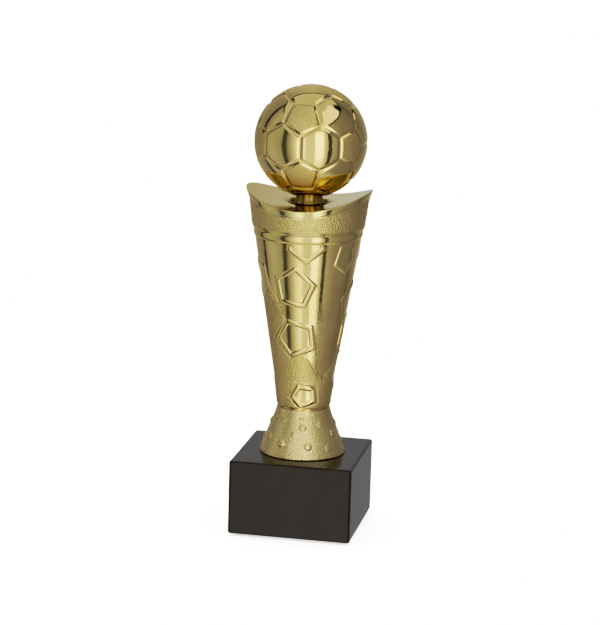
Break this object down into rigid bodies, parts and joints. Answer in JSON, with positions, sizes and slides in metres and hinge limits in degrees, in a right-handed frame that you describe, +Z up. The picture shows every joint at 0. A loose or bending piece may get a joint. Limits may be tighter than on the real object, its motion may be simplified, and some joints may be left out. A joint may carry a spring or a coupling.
{
  "type": "football trophy",
  "caption": "Gold football on a flared column with raised pentagon lines, a saddle top and a conical foot, on a square black marble block.",
  "frame": {"origin": "centre of the underside, level with the bottom of the felt pads", "axes": "+Z up through the tie rod, -Y towards the front face, +X to the right seen from the front"},
  "size_m": [0.051, 0.05, 0.1813],
  "materials": {
    "black_marble": "polished",
    "felt": "matte",
    "zinc_steel": "satin",
    "gold_foot": "satin",
    "gold_column": "polished",
    "gold_neck": "polished",
    "gold_ball": "polished"
  },
  "bodies": {
    "root": {"marble_base": "black_marble", "felt_pads": "felt", "base_washer": "zinc_steel", "base_nut": "zinc_steel", "tie_rod": "zinc_steel", "foot_cone": "gold_foot", "column_shell": "gold_column", "saddle_lid": "gold_column", "neck_spool": "gold_neck", "ball_front_half": "gold_ball", "ball_back_half": "gold_ball", "ball_nut": "zinc_steel"}
  },
  "joints": []
}
